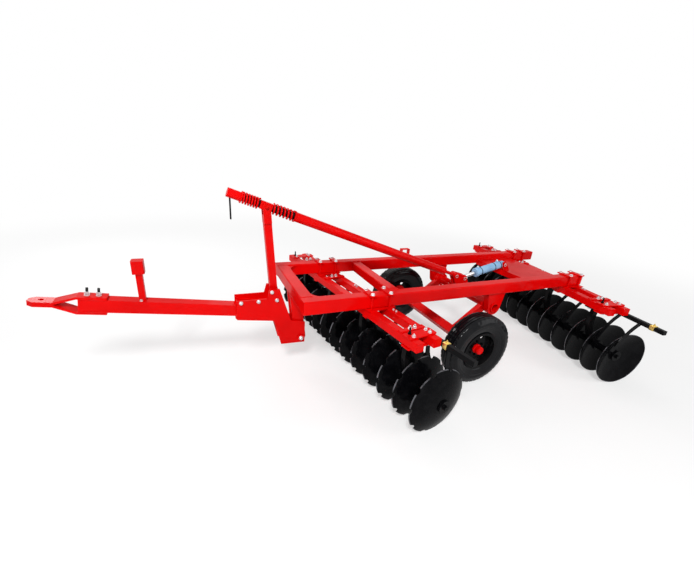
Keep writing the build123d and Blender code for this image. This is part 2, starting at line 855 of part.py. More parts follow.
# Side plates of the headstock: sleeve and mast foot above, pivot below
with BuildPart() as head:
    for side in (-1, 1):
        with BuildSketch(side_plane(side * head_y)):
            Polygon(
                (head_nose_x, head_nose_low),
                (head_throat_x, head_throat_z),
                (head_toe_x, head_toe_z),
                (head_heel_x, head_heel_z),
                (head_heel_x, head_back_z),
                (head_neck_x, head_neck_z),
                (head_top_rear, head_top_z),
                (head_top_front, head_top_z),
                (head_step_x, head_nose_high),
                (head_nose_x, head_nose_high),
                align=None,
            )
            with Locations((pivot_x, pivot_z)):
                Circle(pivot_radius + running_fit, mode=Mode.SUBTRACT)
        extrude(amount=head_thick / 2, both=True)
save(head, "headstock_plates")

# Mast, leaning forwards, with packers at its foot and a fork at its top for the trunnion
mast_fall = degrees(atan2(mast_foot_x - trunnion_x, trunnion_z - mast_foot_z))
mast_length = hypot(mast_foot_x - trunnion_x, trunnion_z - mast_foot_z)
mast_line = slanted_plane(mast_foot_x, mast_foot_z, -mast_fall)
mast_stop = mast_length - hypot(trunnion_length, trunnion_height) / 2 - side_play
with BuildPart() as mast:
    with BuildSketch(mast_line):
        with Locations((0, mast_stop / 2)):
            Rectangle(mast_side, mast_stop)
    extrude(amount=mast_side / 2, both=True)
    with BuildSketch(mast_line):
        with Locations((0, mast_foot_height / 2)):
            Rectangle(mast_side, mast_foot_height)
    extrude(amount=sleeve_half, both=True)
    for side in (-1, 1):
        fork_y = side * (mast_side / 2 + fork_thick / 2)
        with BuildSketch(slanted_plane(mast_foot_x, mast_foot_z, -mast_fall, fork_y)):
            with Locations((0, mast_length)):
                Circle(mast_side / 2)
            with Locations((0, mast_length - fork_height / 2)):
                Rectangle(mast_side, fork_height)
            with Locations((0, mast_length)):
                Circle(trunnion_pin + running_fit, mode=Mode.SUBTRACT)
        extrude(amount=fork_thick / 2, both=True)
save(mast, "mast")

# Hitch plates above and below the drawbar's front end, meeting in a stacked nose
hitch_plan = Plane(origin=tongue_line.origin, x_dir=tongue_line.x_dir, z_dir=tongue_line.y_dir)
for up, name in ((1, "hitch_plate_upper"), (-1, "hitch_plate_lower")):
    lap = hitch_lap - tongue_front
    bend = -tongue_front - hitch_overhang
    nose = bend - hitch_slope
    tip = nose - hitch_nose
    top = tongue_side / 2
    with BuildPart() as hitch:
        with BuildSketch(tongue_line):
            with BuildLine():
                Polyline(
                    (lap, up * top),
                    (bend, up * top),
                    (nose, 0),
                    (tip, 0),
                    (tip, up * hitch_thick),
                    (nose, up * hitch_thick),
                    (bend, up * (top + hitch_thick)),
                    (lap, up * (top + hitch_thick)),
                    close=True,
                )
            make_face()
        extrude(amount=hitch_width / 2, both=True)
        with BuildSketch(hitch_plan):
            Polygon(
                (lap, -hitch_width / 2),
                (tip + hitch_chamfer, -hitch_width / 2),
                (tip, -hitch_tip / 2),
                (tip, hitch_tip / 2),
                (tip + hitch_chamfer, hitch_width / 2),
                (lap, hitch_width / 2),
                align=None,
            )
            with Locations((tip + hitch_eye, 0)):
                Circle(hitch_bore / 2, mode=Mode.SUBTRACT)
        extrude(amount=tongue_side, both=True, mode=Mode.INTERSECT)
    save(hitch, name)

# Hose holder on the drawbar
with BuildPart() as post:
    slope = tan(radians(tongue_fall))
    seat = tongue_mid_z + tongue_side / 2 / cos(radians(tongue_fall))
    left_x, right_x = post_x - post_side / 2, post_x + post_side / 2
    top = seat + (tongue_mid_x - post_x) * slope + post_height
    with BuildSketch(side_plane()):
        Polygon(
            (left_x, seat + (tongue_mid_x - left_x) * slope),
            (right_x, seat + (tongue_mid_x - right_x) * slope),
            (right_x, top),
            (left_x, top),
            align=None,
        )
    extrude(amount=post_side / 2, both=True)
    with BuildSketch(level_plane(top)):
        with Locations((post_x, 0)):
            RectangleRounded(post_head, post_head, rail_corner)
    extrude(amount=post_head_height)
save(post, "hose_post")

# Levelling rod, seen along its fall from the trunnion to the lever
level_line = slanted_plane(trunnion_x, trunnion_z, level_fall)
level_axis = Axis(level_line.origin, level_line.x_dir)
with BuildPart() as trunnion:
    with BuildSketch(level_line):
        Rectangle(trunnion_length, trunnion_height)
    extrude(amount=mast_side / 2 - slip_gap, both=True)
    with BuildSketch(level_line):
        Circle(trunnion_pin)
    extrude(amount=mast_side / 2 + fork_thick + side_play, both=True)
    with BuildSketch(Plane(origin=level_line.origin, x_dir=(0, 1, 0), z_dir=level_line.x_dir)):
        Circle(level_rod_radius + slip_gap)
    extrude(amount=trunnion_length, both=True, mode=Mode.SUBTRACT)
save(trunnion, "trunnion")

spring_start = trunnion_length / 2 + slip_gap
front_stop = spring_start + spring_front
rear_stop = spring_start + spring_rear
with BuildPart() as level_rod:
    with BuildSketch(level_line):
        front = -front_stop - cup_thick - nut_length
        tube_start = rear_stop + cup_thick
        tube_stop = level_length - level_tube_gap
        rod_stop = level_length - pin_radius - tang_lap
        with Locations(((front + rod_stop) / 2, level_rod_radius / 2)):
            Rectangle(rod_stop - front, level_rod_radius)
        with Locations(((tube_start + tube_stop) / 2, level_tube_radius / 2)):
            Rectangle(tube_stop - tube_start, level_tube_radius)
        for cup in (-front_stop - cup_thick / 2, rear_stop + cup_thick / 2):
            with Locations((cup, cup_radius / 2)):
                Rectangle(cup_thick, cup_radius)
        with Locations((front + nut_length / 2, nut_radius / 2)):
            Rectangle(nut_length, nut_radius)
    revolve(axis=level_axis)
    with BuildSketch(level_line):
        with Locations((level_length, 0)):
            Circle(eye_radius)
            Circle(pin_radius, mode=Mode.SUBTRACT)
    extrude(amount=eye_width / 2, both=True)
    tommy_hole = level_line.from_local_coords((front + tommy_set, 0, 0))
    with BuildSketch(Plane(origin=tommy_hole, z_dir=(0, 0, 1))):
        Circle(tommy_radius)
    extrude(amount=-tommy_length)
save(level_rod, "level_rod")

with BuildPart() as springs:
    for side, length in ((-1, spring_front), (1, spring_rear)):
        pitch = (length - 2 * spring_wire - 2 * slip_gap) / spring_turns
        low = side * (spring_start + length / 2) - pitch * spring_turns / 2
        coil_start = level_line.from_local_coords((low, 0, 0))
        with BuildLine():
            coil = Helix(
                pitch,
                pitch * spring_turns,
                spring_radius,
                center=coil_start,
                direction=level_line.x_dir,
            )
        with BuildSketch(Plane(origin=coil @ 0, z_dir=coil % 0)):
            Circle(spring_wire)
        sweep(path=coil, is_frenet=True)
save(springs, "level_springs")

# Hydraulic cylinder, from its tail pin forwards to the lever
ram_line = slanted_plane(ram_tail_x, ram_tail_z, ram_fall)
ram_axis = Axis(ram_line.origin, ram_line.x_dir)
with BuildPart() as barrel:
    start = -barrel_start
    stop = start - barrel_length
    with BuildSketch(ram_line):
        with Locations(((start + stop) / 2, barrel_radius / 2)):
            Rectangle(barrel_length, barrel_radius)
        with Locations((stop + gland_length / 2, gland_radius / 2)):
            Rectangle(gland_length, gland_radius)
        with Locations(((start - barrel_floor + stop + gland_length) / 2, barrel_bore / 2)):
            Rectangle(barrel_length - barrel_floor - gland_length, barrel_bore, mode=Mode.SUBTRACT)
        with Locations(((start - barrel_floor + stop) / 2, (ram_radius + running_fit) / 2)):
            Rectangle(barrel_length - barrel_floor, ram_radius + running_fit, mode=Mode.SUBTRACT)
    revolve(axis=ram_axis)
    with BuildSketch(ram_line):
        Circle(eye_radius)
        with Locations((start / 2, 0)):
            Rectangle(-start, 2 * eye_radius)
        Circle(pin_radius + running_fit, mode=Mode.SUBTRACT)
    extrude(amount=eye_width / 2, both=True)
save(barrel, "ram_barrel")

with BuildPart() as ram:
    with BuildSketch(ram_line):
        with Locations((-ram_span + pin_radius + tang_lap + ram_length / 2, ram_radius / 2)):
            Rectangle(ram_length, ram_radius)
    revolve(axis=ram_axis)
    with BuildSketch(ram_line):
        with Locations((-ram_span, 0)):
            Circle(eye_radius)
            Circle(pin_radius, mode=Mode.SUBTRACT)
    extrude(amount=eye_width / 2, both=True)
save(ram, "ram_rod")
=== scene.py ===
import bmesh
import bpy
from math import atan2, cos, pi, radians, sin
from mathutils import Matrix, Vector


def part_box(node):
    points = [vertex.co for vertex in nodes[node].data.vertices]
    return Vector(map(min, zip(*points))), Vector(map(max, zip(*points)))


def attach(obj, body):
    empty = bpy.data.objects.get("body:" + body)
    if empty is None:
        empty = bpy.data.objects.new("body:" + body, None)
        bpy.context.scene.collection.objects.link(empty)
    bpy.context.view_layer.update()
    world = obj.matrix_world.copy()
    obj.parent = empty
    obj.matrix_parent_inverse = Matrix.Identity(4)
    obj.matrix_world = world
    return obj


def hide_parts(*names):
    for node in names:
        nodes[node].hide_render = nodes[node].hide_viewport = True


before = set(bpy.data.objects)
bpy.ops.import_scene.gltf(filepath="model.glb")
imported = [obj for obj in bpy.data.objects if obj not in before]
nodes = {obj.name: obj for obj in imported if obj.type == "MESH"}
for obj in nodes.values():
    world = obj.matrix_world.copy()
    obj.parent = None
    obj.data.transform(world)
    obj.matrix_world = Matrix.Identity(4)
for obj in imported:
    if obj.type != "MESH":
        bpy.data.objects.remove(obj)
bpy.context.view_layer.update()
scene = bpy.context.scene
print("frame loaded", len(nodes), "nodes")

# sizes are in millimetres, places from the frame's front face, its centre plane and the ground
railLeft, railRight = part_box("frame_rail_left"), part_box("frame_rail_right")
datum = Vector((railLeft[0].x, (railLeft[0].y + railRight[1].y) / 2, 0.0))
up, toRight = Vector((0, 0, 1)), Vector((0, 1, 0))


class Wire:  # one socket of a material, with plain arithmetic
    def __init__(self, tree, socket):
        self.tree = tree
        self.socket = socket

    def math(self, operation, first, second):
        return node(self.tree, "ShaderNodeMath", {"operation": operation}, {0: first, 1: second})

    def __add__(self, other):
        return self.math("ADD", self, other)

    def __radd__(self, other):
        return self.math("ADD", other, self)

    def __sub__(self, other):
        return self.math("SUBTRACT", self, other)

    def __rsub__(self, other):
        return self.math("SUBTRACT", other, self)

    def __mul__(self, other):
        return self.math("MULTIPLY", self, other)

    def __rmul__(self, other):
        return self.math("MULTIPLY", other, self)


# adds one node: type, settings first, then values or wires for its sockets
def node(tree, kind, settings, inputs, out=0):
    made = tree.nodes.new(kind)
    for name, value in settings.items():
        if name == "stops":
            for element, (place, colour) in zip(made.color_ramp.elements, value):
                element.position = place
                element.color = colour
        else:
            setattr(made, name, value)
    plug(tree, made, inputs)
    return Wire(tree, made.outputs[out])


def plug(tree, target, inputs):
    for name, value in inputs.items():
        if isinstance(value, Wire):
            tree.links.new(value.socket, target.inputs[name])
        else:
            target.inputs[name].default_value = value


def objectSpot(tree):
    return node(tree, "ShaderNodeTexCoord", {}, {}, "Object")


def mixColour(tree, factor, first, second):
    return node(tree, "ShaderNodeMix", {"data_type": "RGBA"}, {0: factor, 6: first, 7: second}, 2)


def step(tree, value, low, high):
    stops = [(low, (0, 0, 0, 1)), (high, (1, 1, 1, 1))]
    return node(tree, "ShaderNodeValToRGB", {"stops": stops}, {0: value})


def easedStep(tree, value, low, high):
    settings = {"interpolation_type": "SMOOTHERSTEP"}
    return node(tree, "ShaderNodeMapRange", settings, {"Value": value, "From Min": low, "From Max": high})


def noise(tree, scale, detail):
    inputs = {"Vector": objectSpot(tree), "Scale": scale, "Detail": detail}
    return node(tree, "ShaderNodeTexNoise", {}, inputs)


def patches(tree, scale, detail, low, high):  # noise cut to soft patches
    return step(tree, noise(tree, scale, detail), low, high)


def farFrom(tree, spot):
    return node(tree, "ShaderNodeVectorMath", {"operation": "LENGTH"}, {0: spot}, 1)


def bump(tree, height, strength, distance):
    return node(tree, "ShaderNodeBump", {}, {"Height": height, "Strength": strength, "Distance": distance})


# rays that should meet a white background: the camera's, mirrored and seen through
def seenRays(tree):
    rays = ("Is Camera Ray", "Is Glossy Ray", "Is Transmission Ray")
    camera, mirrored, through = [node(tree, "ShaderNodeLightPath", {}, {}, ray) for ray in rays]
    return camera + mirrored + through


def newFinish(name):
    material = bpy.data.materials.new(name)
    material.use_nodes = True
    tree = material.node_tree
    return material, tree, tree.nodes["Principled BSDF"]


# a pattern is a noise's scale and detail, and where its patches begin and are full; depths are in metres
paint = {
    "red": (0.70, 0.001, 0.001, 1), "deepRed": (0.57, 0.001, 0.001, 1), "redDust": (0.52, 0.02, 0.015, 1),
    "blue": (0.10, 0.27, 0.50, 1), "paleBlue": (0.34, 0.58, 0.82, 1),
    "cloud": (2.3, 4, 0.35, 0.7), "speck": (55, 2, 0.62, 0.75), "settled": (9, 6, 0.6, 0.85), "dusty": 0.2,
    "finePeel": (420, 2), "broadPeel": (60, 2), "fineShare": 0.6, "peelStrength": 0.16, "peelDepth": 0.0006,
    "rough": 0.3, "cloudRough": 0.06, "dustRough": 0.9, "speckRough": 0.05,
    "gloss": 0.015, "coat": 0.1, "coatRough": 0.06,
}


def sprayedPaint(name, light, deep, dust):
    material, tree, shader = newFinish(name)
    cloud = patches(tree, *paint["cloud"])
    speck = patches(tree, *paint["speck"])
    settled = patches(tree, *paint["settled"]) * paint["dusty"]
    colour = mixColour(tree, cloud, light, deep)
    share = paint["fineShare"]
    peel = noise(tree, *paint["finePeel"]) * share + noise(tree, *paint["broadPeel"]) * (1 - share)
    rough = paint["rough"] + cloud * paint["cloudRough"]
    plug(tree, shader, {
        "Base Color": mixColour(tree, settled, colour, dust),
        "Roughness": rough + settled * paint["dustRough"] + speck * paint["speckRough"],
        "Specular IOR Level": paint["gloss"],
        "Coat Weight": paint["coat"],
        "Coat Roughness": paint["coatRough"],
        "Normal": bump(tree, peel, paint["peelStrength"], paint["peelDepth"]),
    })
    return material


redPaint = sprayedPaint("redPaint", paint["red"], paint["deepRed"], paint["redDust"])
barrelPaint = sprayedPaint("barrelPaint", paint["paleBlue"], paint["blue"], paint["paleBlue"])

black = {
    "steel": (0.0025, 0.0025, 0.003, 1), "worn": (0.014, 0.013, 0.013, 1), "wear": (6, 5, 0.5, 0.8),
    "wornShare": 0.6, "grain": (160, 3), "grainStrength": 0.2, "grainDepth": 0.0008,
    "rough": 0.34, "wornRough": 0.14, "grainRough": 0.08, "gloss": 0.02, "coat": 0.1, "coatRough": 0.12,
}


def blackSteel():
    material, tree, shader = newFinish("blackSteel")
    worn = patches(tree, *black["wear"])
    grain = noise(tree, *black["grain"])
    plug(tree, shader, {
        "Base Color": mixColour(tree, worn * black["wornShare"], black["steel"], black["worn"]),
        "Roughness": black["rough"] + worn * black["wornRough"] + grain * black["grainRough"],
        "Specular IOR Level": black["gloss"],
        "Coat Weight": black["coat"],
        "Coat Roughness": black["coatRough"],
        "Normal": bump(tree, grain, black["grainStrength"], black["grainDepth"]),
    })
    return material


ground = {  # the discs: black scale, flecks of dust and a bright rim, which is partly real ground steel and partly a painted glint; its radii in metres
    "steel": (0.0018, 0.0018, 0.0024, 1), "worn": (0.008, 0.008, 0.009, 1), "dust": (0.03, 0.027, 0.024, 1),
    # the rim's colour, reach, patches and share below are partly ground steel and partly a painted glint
    "edge": (0.20, 0.20, 0.22, 1), "scale": (11, 6, 0.45, 0.75), "fleck": (95, 3, 0.58, 0.7),
    "edgeFrom": 0.3015, "edgeTo": 0.3045, "ragged": (24, 4), "raggedBy": 0.006, "rimAndGlintPatches": (7, 4, 0.4, 0.62),
    "wornShare": 0.5, "dustShare": 0.15, "edgeShare": 0.8, "edgeMetal": 0.7,
    "rough": 0.26, "scaleRough": 0.16, "fleckRough": 0.08, "fleckBump": 0.4, "bumpStrength": 0.2,
    "bumpDepth": 0.0008, "gloss": 0.01, "coat": 0.08, "coatRough": 0.1,
}


# distance from the gang's axle picks out the bright rim, ground steel and a painted glint broken into patches
def discSteel(name, turn, axle):
    material, tree, shader = newFinish(name)
    scale = patches(tree, *ground["scale"])
    fleck = patches(tree, *ground["fleck"])
    centred = node(tree, "ShaderNodeVectorMath", {"operation": "SUBTRACT"}, {0: objectSpot(tree), 1: axle})
    turned = node(tree, "ShaderNodeMapping", {}, {"Vector": centred, "Rotation": (0, 0, -radians(turn))})
    flat = node(tree, "ShaderNodeMapping", {}, {"Vector": turned, "Scale": (1, 0, 1)})
    reach = farFrom(tree, flat) + noise(tree, *ground["ragged"]) * ground["raggedBy"]
    # painted glint: the rim is made bright in broken patches, standing for highlights along the disc rims as
    # well as ground steel
    edge = step(tree, reach, ground["edgeFrom"], ground["edgeTo"]) * patches(tree, *ground["rimAndGlintPatches"])
    colour = mixColour(tree, scale * ground["wornShare"], ground["steel"], ground["worn"])
    colour = mixColour(tree, fleck * ground["dustShare"], colour, ground["dust"])
    pits = fleck * ground["fleckBump"] + scale * (1 - ground["fleckBump"])
    plug(tree, shader, {
        "Base Color": mixColour(tree, edge * ground["edgeShare"], colour, ground["edge"]),
        "Metallic": edge * ground["edgeMetal"],
        "Roughness": ground["rough"] + scale * ground["scaleRough"] + fleck * ground["fleckRough"],
        "Specular IOR Level": ground["gloss"],
        "Coat Weight": ground["coat"],
        "Coat Roughness": ground["coatRough"],
        "Normal": bump(tree, pits, ground["bumpStrength"], ground["bumpDepth"]),
    })
    return material


tread = {
    "rubber": (0.003, 0.003, 0.004, 1), "bloomed": (0.012, 0.012, 0.013, 1), "bloom": (5, 5, 0.45, 0.8),
    "bloomShare": 0.5, "pores": (240, 2), "poreStrength": 0.12, "poreDepth": 0.0006,
    "rough": 0.5, "bloomRough": 0.2, "poreRough": 0.05, "gloss": 0.02, "coat": 0.26, "coatRough": 0.08,
}


def tyreRubber():
    material, tree, shader = newFinish("tyreRubber")
    bloom = patches(tree, *tread["bloom"])
    pores = noise(tree, *tread["pores"])
    plug(tree, shader, {
        "Base Color": mixColour(tree, bloom * tread["bloomShare"], tread["rubber"], tread["bloomed"]),
        "Roughness": tread["rough"] + bloom * tread["bloomRough"] + pores * tread["poreRough"],
        "Specular IOR Level": tread["gloss"],
        "Coat Weight": tread["coat"],
        "Coat Roughness": tread["coatRough"],
        "Normal": bump(tree, pores, tread["poreStrength"], tread["poreDepth"]),
    })
    return material


bright = {
    "polishedRod": {
        "light": (0.78, 0.79, 0.80, 1), "deep": (0.60, 0.61, 0.63, 1), "rough": 0.10, "cloud": 14,
    },
    "whiteZinc": {
        "light": (0.74, 0.75, 0.76, 1), "deep": (0.50, 0.51, 0.53, 1), "rough": 0.30, "cloud": 60,
    },
    "yellowZinc": {
        "light": (0.84, 0.62, 0.14, 1), "deep": (0.66, 0.50, 0.22, 1), "rough": 0.32, "cloud": 60,
    },
}
brushed = {  # what the three have in common
    "patches": (4, 0.35, 0.75), "streak": (180, 2), "cloudRough": 0.12, "streakRough": 0.06,
    "streakStrength": 0.08, "streakDepth": 0.0004,
}


def brightSteel(name):
    material, tree, shader = newFinish(name)
    metal = bright[name]
    cloud = patches(tree, metal["cloud"], *brushed["patches"])
    streak = noise(tree, *brushed["streak"])
    plug(tree, shader, {
        "Base Color": mixColour(tree, cloud, metal["light"], metal["deep"]),
        "Metallic": 1.0,
        "Roughness": metal["rough"] + cloud * brushed["cloudRough"] + streak * brushed["streakRough"],
        "Normal": bump(tree, streak, brushed["streakStrength"], brushed["streakDepth"]),
    })
    return material


steelBlack, rubber = blackSteel(), tyreRubber()
chrome, zinc, yellowZinc = [brightSteel(name) for name in bright]

# finish of a CAD node by the end of its name, all others are red
finishOf = {
    "_axle": steelBlack, "_rim": steelBlack, "_scrapers": steelBlack, "_hangers": steelBlack,
    "_tyre": rubber, "ram_rod": chrome, "ram_barrel": barrelPaint,
}


def setFinish(part, finish):
    part.data.materials.clear()
    part.data.materials.append(finish)


for name, part in nodes.items():
    ends = [end for end in finishOf if name.endswith(end)]
    setFinish(part, finishOf[ends[0]] if ends else redPaint)


def at(x, y, z):
    return datum + Vector((x, y, z)) / 1000


# a gang's turn, its axle's trail behind the beams' middle, beam ends, first disc, scraper bar
gangs = {
    "front": {
        "x": 665, "turn": 8.2, "trail": 115, "left": 1240, "right": 1320, "first": -1400, "cup": 1,
        "barHeight": 792, "collar": -1262, "armGap": 10,
    },
    "rear": {
        "x": 3550, "turn": -10.9, "trail": 125, "left": 1250, "right": 1420, "first": -1293, "cup": -1,
        "barHeight": 762, "collar": -1500, "armGap": 0,
    },
}
discs = {"count": 13, "pitch": 225, "axleHeight": 305, "dish": 72, "hangerStep": 3}
beams = {"spread": 95, "top": 862, "bar": 177.5, "barSide": 45}


def gangAt(gang, across, along, z):
    turn = radians(gang["turn"])
    return at(gang["x"] + across * cos(turn) - along * sin(turn), across * sin(turn) + along * cos(turn), z)


def gangWays(gang):  # rearwards across the gang, and along it to the right
    turn = radians(gang["turn"])
    return Vector((cos(turn), sin(turn), 0)), Vector((-sin(turn), cos(turn), 0))


def hangerPlaces(gang):
    bays = range(1, discs["count"], discs["hangerStep"])
    middle = discs["pitch"] / 2 + gang["cup"] * discs["dish"] / 2
    return [gang["first"] + discs["pitch"] * bay + middle for bay in bays]


for name, gang in gangs.items():
    axle = gangAt(gang, gang["trail"], 0, discs["axleHeight"])
    setFinish(nodes[name + "_discs"], discSteel(name + "DiscSteel", gang["turn"], axle))
print("finishes on CAD nodes")

# sloping lines of the machine, each from a point and falling rearwards by so many degrees
tongue = {"x": -223, "z": 700, "fall": 8.55}
levelLine = {"x": -200, "z": 1705, "fall": 19.283}
cylinder = {"x": 2835, "z": 1012, "fall": -12.587}
liftArm = {"x": 2240, "z": 695, "fall": -37.0}


def slopeUp(line):
    turn = radians(line["fall"])
    return Vector((sin(turn), 0, cos(turn)))


def slopeWay(line):
    turn = radians(line["fall"])
    return Vector((cos(turn), 0, -sin(turn)))


def onSlope(line, along, height, y=0.0):
    return at(line["x"], y, line["z"]) + (slopeWay(line) * along + slopeUp(line) * height) / 1000


def turnedTo(place, axis, size=1.0):
    turn = up.rotation_difference(axis).to_matrix().to_4x4()
    return Matrix.Translation(place) @ turn @ Matrix.Scale(size, 4)


# upright bar or cone: number of sides, radius at the foot and the tip, height of the foot and the tip
def peg(shape, sides, foot, tip, low, high, x=0.0, y=0.0):
    bmesh.ops.create_cone(
        shape, cap_ends=True, segments=sides, radius1=foot / 1000, radius2=tip / 1000,
        depth=(high - low) / 1000, matrix=Matrix.Translation(Vector((x, y, (low + high) / 2)) / 1000),
    )


def easeEdges(shape, edges, size, steps=2):
    bmesh.ops.bevel(
        shape, geom=edges, offset=size / 1000, affect="EDGES", segments=steps, profile=0.5, material=-1,
    )


def edgesAbove(shape, height):
    return [e for e in shape.edges if all(v.co.z > height / 1000 for v in e.verts)]


def uprightEdges(shape, tall):
    return [e for e in shape.edges if abs(e.verts[0].co.z - e.verts[1].co.z) > tall / 2000]


def easedBlock(size, ease):  # box about its own middle
    shape = bmesh.new()
    bmesh.ops.create_cube(shape, size=1.0)
    bmesh.ops.scale(shape, vec=Vector(size) / 1000, verts=shape.verts[:])
    easeEdges(shape, shape.edges[:], ease)
    return shape


def placed(shape, matrix):
    bmesh.ops.transform(shape, matrix=matrix, verts=shape.verts[:])
    return shape


# puts a finished small shape into a bigger one
def absorb(shape, small, matrix):
    mesh = bpy.data.meshes.new("loan")
    placed(small, matrix).to_mesh(mesh)
    small.free()
    shape.from_mesh(mesh)
    bpy.data.meshes.remove(mesh)


def newPiece(name, body, finish, shape, sharp=35):
    mesh = bpy.data.meshes.new(name)
    shape.to_mesh(mesh)
    shape.free()
    mesh.materials.append(finish)
    mesh.shade_smooth()
    mesh.set_sharp_from_angle(angle=radians(sharp))
    piece = bpy.data.objects.new(name, mesh)
    scene.collection.objects.link(piece)
    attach(piece, body)
    return piece


fastener = {  # washer, chamfered nut and the thread's end, for a 20 mm stud
    "washer": 20, "washerTip": 19.2, "washerThick": 3, "washerSides": 14,
    "corner": 17.3, "sides": 6, "tall": 14, "chamfer": 2.2,
    "thread": 9.8, "threadTip": 8.33, "threadSides": 10,
}


def nut(proud):
    shape = bmesh.new()
    low = fastener["washerThick"]
    high = low + fastener["tall"]
    peg(shape, fastener["washerSides"], fastener["washer"], fastener["washerTip"], 0, low)
    peg(shape, fastener["sides"], fastener["corner"], fastener["corner"], low, high)
    easeEdges(shape, edgesAbove(shape, fastener["tall"]), fastener["chamfer"], 1)
    if proud:
        peg(shape, fastener["threadSides"], fastener["thread"], fastener["threadTip"], high, high + proud)
    return shape


# a fixing is its place, its axis and its nut: size against a 20 mm stud, and how far the stud stands proud
def fixings(name, body, places, finish=zinc):
    shape = bmesh.new()
    for place, axis, (size, proud) in places:
        absorb(shape, nut(proud), turnedTo(place, axis, size))
    newPiece(name, body, finish, shape)


clamp = {"railY": 517, "studOut": 70.3, "top": 1011, "under": 768, "nut": (1.0, 0), "underNut": (1.2, 6)}
endPlate = {
    "middle": 120, "inset": 8, "aside": 26, "top": 874, "under": 770,
    "nut": (0.85, 12), "tallNut": (0.85, 50), "underNut": (0.85, 0),
}
hanger = {"strapOut": 26, "underOut": 105, "strapNut": (0.95, 14), "underNut": (0.8, 4)}
carrier = {"along": (-675, 0, 675), "aside": 20, "rise": 2, "nut": (0.6, 6)}
pivotPin = {"x": 122, "y": 109.3, "z": 386, "nut": (1.15, 4)}
strap = {"long": 262, "wide": 56, "thick": 12, "ease": 5}  # over the beams, the hangers hang from it


def clampNuts(gang):
    turn = radians(gang["turn"])
    places = []
    for side in (-1, 1):
        railY = side * clamp["railY"]
        crossing = gang["x"] - railY * sin(turn) / cos(turn)
        for ahead in (-1, 1):
            for over in (-1, 1):
                stud = at(crossing + ahead * beams["spread"], railY + over * clamp["studOut"], clamp["top"])
                places.append((stud, up, clamp["nut"]))
        places.append((gangAt(gang, 0, railY / cos(turn), clamp["under"]), -up, clamp["underNut"]))
    return places


def endPlateNuts(gang):  # one stud of each plate is black and stands tall
    plain, tall = [], []
    out = beams["spread"] - endPlate["inset"]
    for middle in (endPlate["middle"] - gang["left"], gang["right"] - endPlate["middle"]):
        for ahead in (-1, 1):
            for aside in (-1, 1):
                along = middle + aside * endPlate["aside"]
                top = gangAt(gang, ahead * out, along, endPlate["top"])
                if ahead < 0 < aside:
                    tall.append((top, up, endPlate["tallNut"]))
                else:
                    plain.append((top, up, endPlate["nut"]))
                plain.append((gangAt(gang, ahead * out, along, endPlate["under"]), -up, endPlate["underNut"]))
    return plain, tall


def hangerNuts(gang):
    places = []
    for along in hangerPlaces(gang):
        for ahead in (-1, 1):
            top = gangAt(gang, ahead * hanger["strapOut"], along, beams["top"] + strap["thick"])
            under = gangAt(gang, ahead * hanger["underOut"], along, clamp["under"])
            places += [(top, up, hanger["strapNut"]), (under, -up, hanger["underNut"])]
    return places


def carrierNuts(gang):
    places = []
    for middle in carrier["along"]:
        for aside in (-1, 1):
            along = middle + aside * carrier["aside"]
            top = gangAt(gang, beams["spread"], along, beams["top"] + carrier["rise"])
            places.append((top, up, carrier["nut"]))
    return places


frameNuts, plateStuds = [], []
for gang in gangs.values():
    plain, tall = endPlateNuts(gang)
    frameNuts += clampNuts(gang) + plain + hangerNuts(gang) + carrierNuts(gang)
    plateStuds += tall
for side in (-1, 1):
    end = at(pivotPin["x"], side * pivotPin["y"], pivotPin["z"])
    frameNuts.append((end, toRight * side, pivotPin["nut"]))
fixings("frame_nuts", "frame", frameNuts)
fixings("end_plate_studs", "frame", plateStuds, steelBlack)


def hangerStraps(name, gang):
    shape = bmesh.new()
    turn = Matrix.Rotation(radians(gang["turn"]), 4, "Z")
    for along in hangerPlaces(gang):
        middle = gangAt(gang, 0, along, beams["top"] + strap["thick"] / 2)
        block = easedBlock((strap["long"], strap["wide"], strap["thick"]), strap["ease"])
        absorb(shape, block, Matrix.Translation(middle) @ turn)
    newPiece(name, "frame", redPaint, shape)


for name, gang in gangs.items():
    hangerStraps(name + "_hanger_straps", gang)
print("frame fixings")

# drawbar: hitch bolts with two nuts above, the post's bolt, sleeve and mast bolts through the headstock
hitch = {
    "along": (-1430, -1352), "plate": 74, "second": 89, "stud": 104, "nut": (1.0, 0), "secondNut": (0.98, 0),
}
post = {"along": -1052, "height": 54, "y": -32, "nut": (0.7, 4)}
headstock = {"y": 91.3, "bolts": ((-456, 830), (-297, 830), (-170, 914), (-122, 828)), "nut": (0.95, 12)}
trunnion = {"y": 53, "nut": (0.9, 4)}
stud = {"radius": 10, "tall": 34, "turns": 9, "sides": 12, "root": 0.88}

drawbarNuts, studPlaces = [], []
tongueUp = slopeUp(tongue)
for along in hitch["along"]:
    drawbarNuts.append((onSlope(tongue, along, hitch["plate"]), tongueUp, hitch["nut"]))
    drawbarNuts.append((onSlope(tongue, along, hitch["second"]), tongueUp, hitch["secondNut"]))
    drawbarNuts.append((onSlope(tongue, along, -hitch["plate"]), -tongueUp, hitch["nut"]))
    studPlaces.append(onSlope(tongue, along, hitch["stud"]))
drawbarNuts.append((onSlope(tongue, post["along"], post["height"], post["y"]), tongueUp, post["nut"]))
for side in (-1, 1):
    for x, z in headstock["bolts"]:
        drawbarNuts.append((at(x, side * headstock["y"], z), toRight * side, headstock["nut"]))
fixings("drawbar_nuts", "drawbar", drawbarNuts)


def threadedEnds():
    shape = bmesh.new()
    rings = 2 * stud["turns"] + 1
    for place in studPlaces:
        small = bmesh.new()
        peg(small, stud["sides"], stud["radius"], stud["radius"], 0, stud["tall"])
        bmesh.ops.subdivide_edges(small, edges=uprightEdges(small, stud["tall"]), cuts=rings - 1)
        for vert in small.verts:
            if round(vert.co.z * 1000 / stud["tall"] * rings) % 2:
                vert.co.xy *= stud["root"]
        absorb(shape, small, turnedTo(place, tongueUp))
    newPiece("drawbar_studs", "drawbar", steelBlack, shape)


